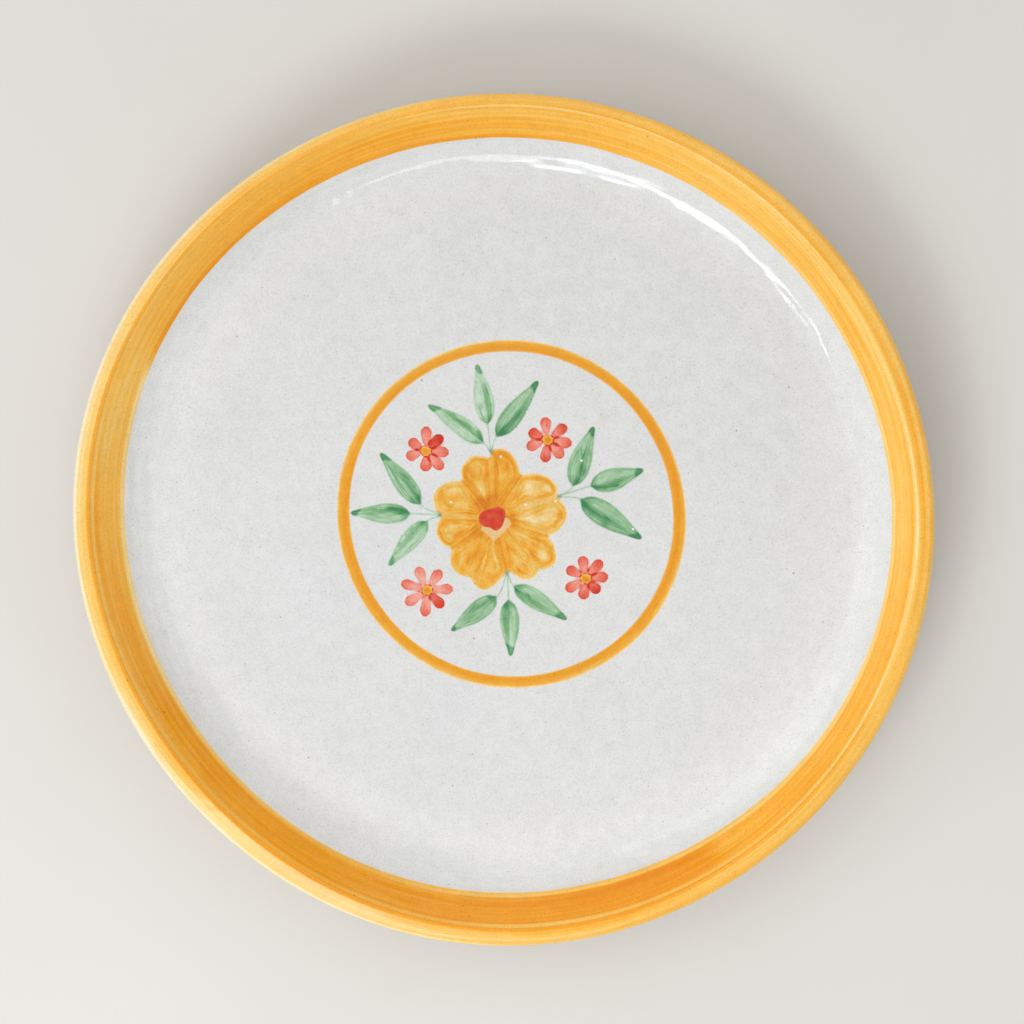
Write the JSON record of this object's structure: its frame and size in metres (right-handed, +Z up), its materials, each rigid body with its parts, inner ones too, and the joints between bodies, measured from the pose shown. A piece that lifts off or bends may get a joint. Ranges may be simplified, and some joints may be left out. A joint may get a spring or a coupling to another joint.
{
  "type": "painted ceramic dinner plate",
  "caption": "Round coupe plate in glazed stoneware with a coved wall, a thick sloping lip, a foot ring, a brushed yellow rim band and a painted flower medallion inside a ring line.",
  "frame": {"origin": "on the plate's axis, in the plane that the foot ring stands on, at the centre of the bottom of the bounding box", "axes": "+Z up along the plate's axis, out of the dish; +Y towards the spray of leaves whose middle leaf is upright, +X to its right"},
  "size_m": [0.27, 0.27, 0.0253],
  "materials": {
    "stoneware": "unglazed fired stoneware, fine grog, matt",
    "speckled_white_glaze": "glossy off-white glaze with fine brown and grey specks",
    "yellow_band_glaze": "glossy yellow-orange glaze with concentric brush streaks",
    "orange_line_glaze": "glossy brushed orange line, softer at its edges",
    "flower_ochre": "glossy translucent ochre brush strokes with darker edges",
    "flower_heart_red": "glossy red dab",
    "leaf_green": "glossy translucent green brush strokes with dark tips",
    "stem_green": "glossy thin pale green lines",
    "blossom_red": "glossy salmon to red brush strokes",
    "blossom_heart_orange": "glossy orange dab"
  },
  "bodies": {
    "root": {"back_glaze": "speckled_white_glaze", "clay_body": "stoneware", "east_left_leaf": "leaf_green", "east_middle_leaf": "leaf_green", "east_right_leaf": "leaf_green", "east_stems": "stem_green", "face_glaze": "speckled_white_glaze", "flower_heart": "flower_heart_red", "foot_well_glaze": "speckled_white_glaze", "left_petal": "flower_ochre", "lower_left_petal": "flower_ochre", "lower_right_petal": "flower_ochre", "north_east_blossom": "blossom_red", "north_east_blossom_heart": "blossom_heart_orange", "north_left_leaf": "leaf_green", "north_middle_leaf": "leaf_green", "north_right_leaf": "leaf_green", "north_stems": "stem_green", "north_west_blossom": "blossom_red", "north_west_blossom_heart": "blossom_heart_orange", "right_petal": "flower_ochre", "rim_band": "yellow_band_glaze", "ring_line": "orange_line_glaze", "south_east_blossom": "blossom_red", "south_east_blossom_heart": "blossom_heart_orange", "south_left_leaf": "leaf_green", "south_middle_leaf": "leaf_green", "south_right_leaf": "leaf_green", "south_stems": "stem_green", "south_west_blossom": "blossom_red", "south_west_blossom_heart": "blossom_heart_orange", "top_petal": "flower_ochre", "west_left_leaf": "leaf_green", "west_middle_leaf": "leaf_green", "west_right_leaf": "leaf_green", "west_stems": "stem_green"}
  },
  "joints": []
}
